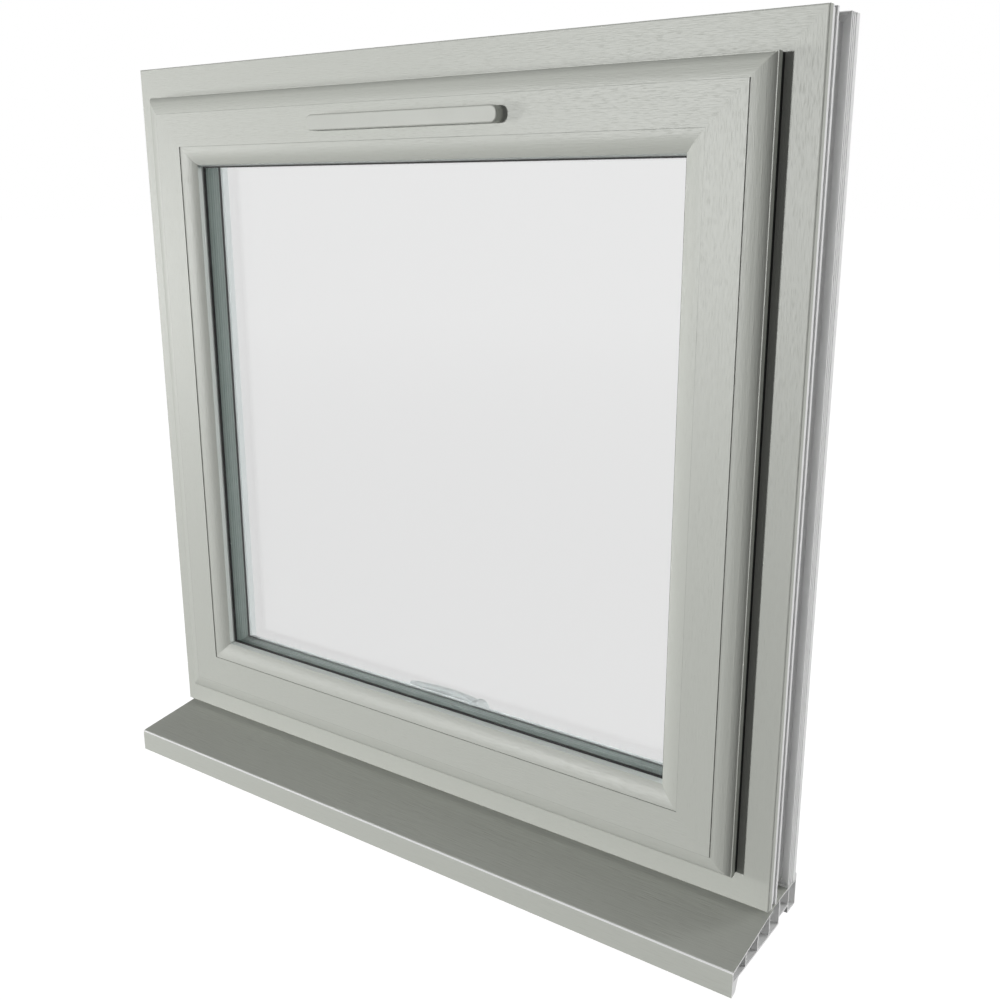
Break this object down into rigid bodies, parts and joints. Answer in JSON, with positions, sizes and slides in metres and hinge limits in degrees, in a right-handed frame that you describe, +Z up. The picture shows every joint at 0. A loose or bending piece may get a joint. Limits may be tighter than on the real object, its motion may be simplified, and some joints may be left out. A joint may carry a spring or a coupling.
{
  "type": "top-hung window",
  "caption": "Outward-opening top-hung casement window with sculptured sash, double glazing, trickle vent hood, inside handle and hollow projecting sill.",
  "frame": {"origin": "on the sill's flat underside, in line with the frame's outer face, midway across", "axes": "+X to the right seen from outside, +Y inwards through the wall, +Z up"},
  "size_m": [0.85, 0.1615, 0.8647],
  "materials": {
    "frame_profile": "fine embossed woodgrain foil outside, smooth white inside and on the edges",
    "sash_profile": "fine embossed woodgrain foil outside, smooth white inside",
    "bead_plastic": "smooth white",
    "gasket_rubber": "matt black",
    "bead_gasket_rubber": "matt pale grey",
    "spacer": "satin grey-green, fine lines along its length",
    "clear_glass": "clear",
    "sill_profile": "fine embossed woodgrain foil on top and nose, smooth white below",
    "vent_hood_plastic": "satin",
    "vent_inside_plastic": "smooth white",
    "handle_metal": "satin white"
  },
  "bodies": {
    "root": {"frame_head": "frame_profile", "frame_bottom_rail": "frame_profile", "frame_left_jamb": "frame_profile", "frame_right_jamb": "frame_profile", "sash_top_rail": "sash_profile", "sash_bottom_rail": "sash_profile", "sash_left_stile": "sash_profile", "sash_right_stile": "sash_profile", "bead_top": "bead_plastic", "bead_bottom": "bead_plastic", "bead_left": "bead_plastic", "bead_right": "bead_plastic", "outer_glazing_gasket": "gasket_rubber", "sash_lip_seal": "gasket_rubber", "frame_upstand_seal": "gasket_rubber", "inner_glazing_gasket": "bead_gasket_rubber", "spacer_bar": "spacer", "outer_pane": "clear_glass", "inner_pane": "clear_glass", "sill": "sill_profile", "vent_hood": "vent_hood_plastic", "vent_inside": "vent_inside_plastic", "vent_flap": "vent_inside_plastic", "handle_base": "handle_metal", "handle_lever": "handle_metal"}
  },
  "joints": []
}
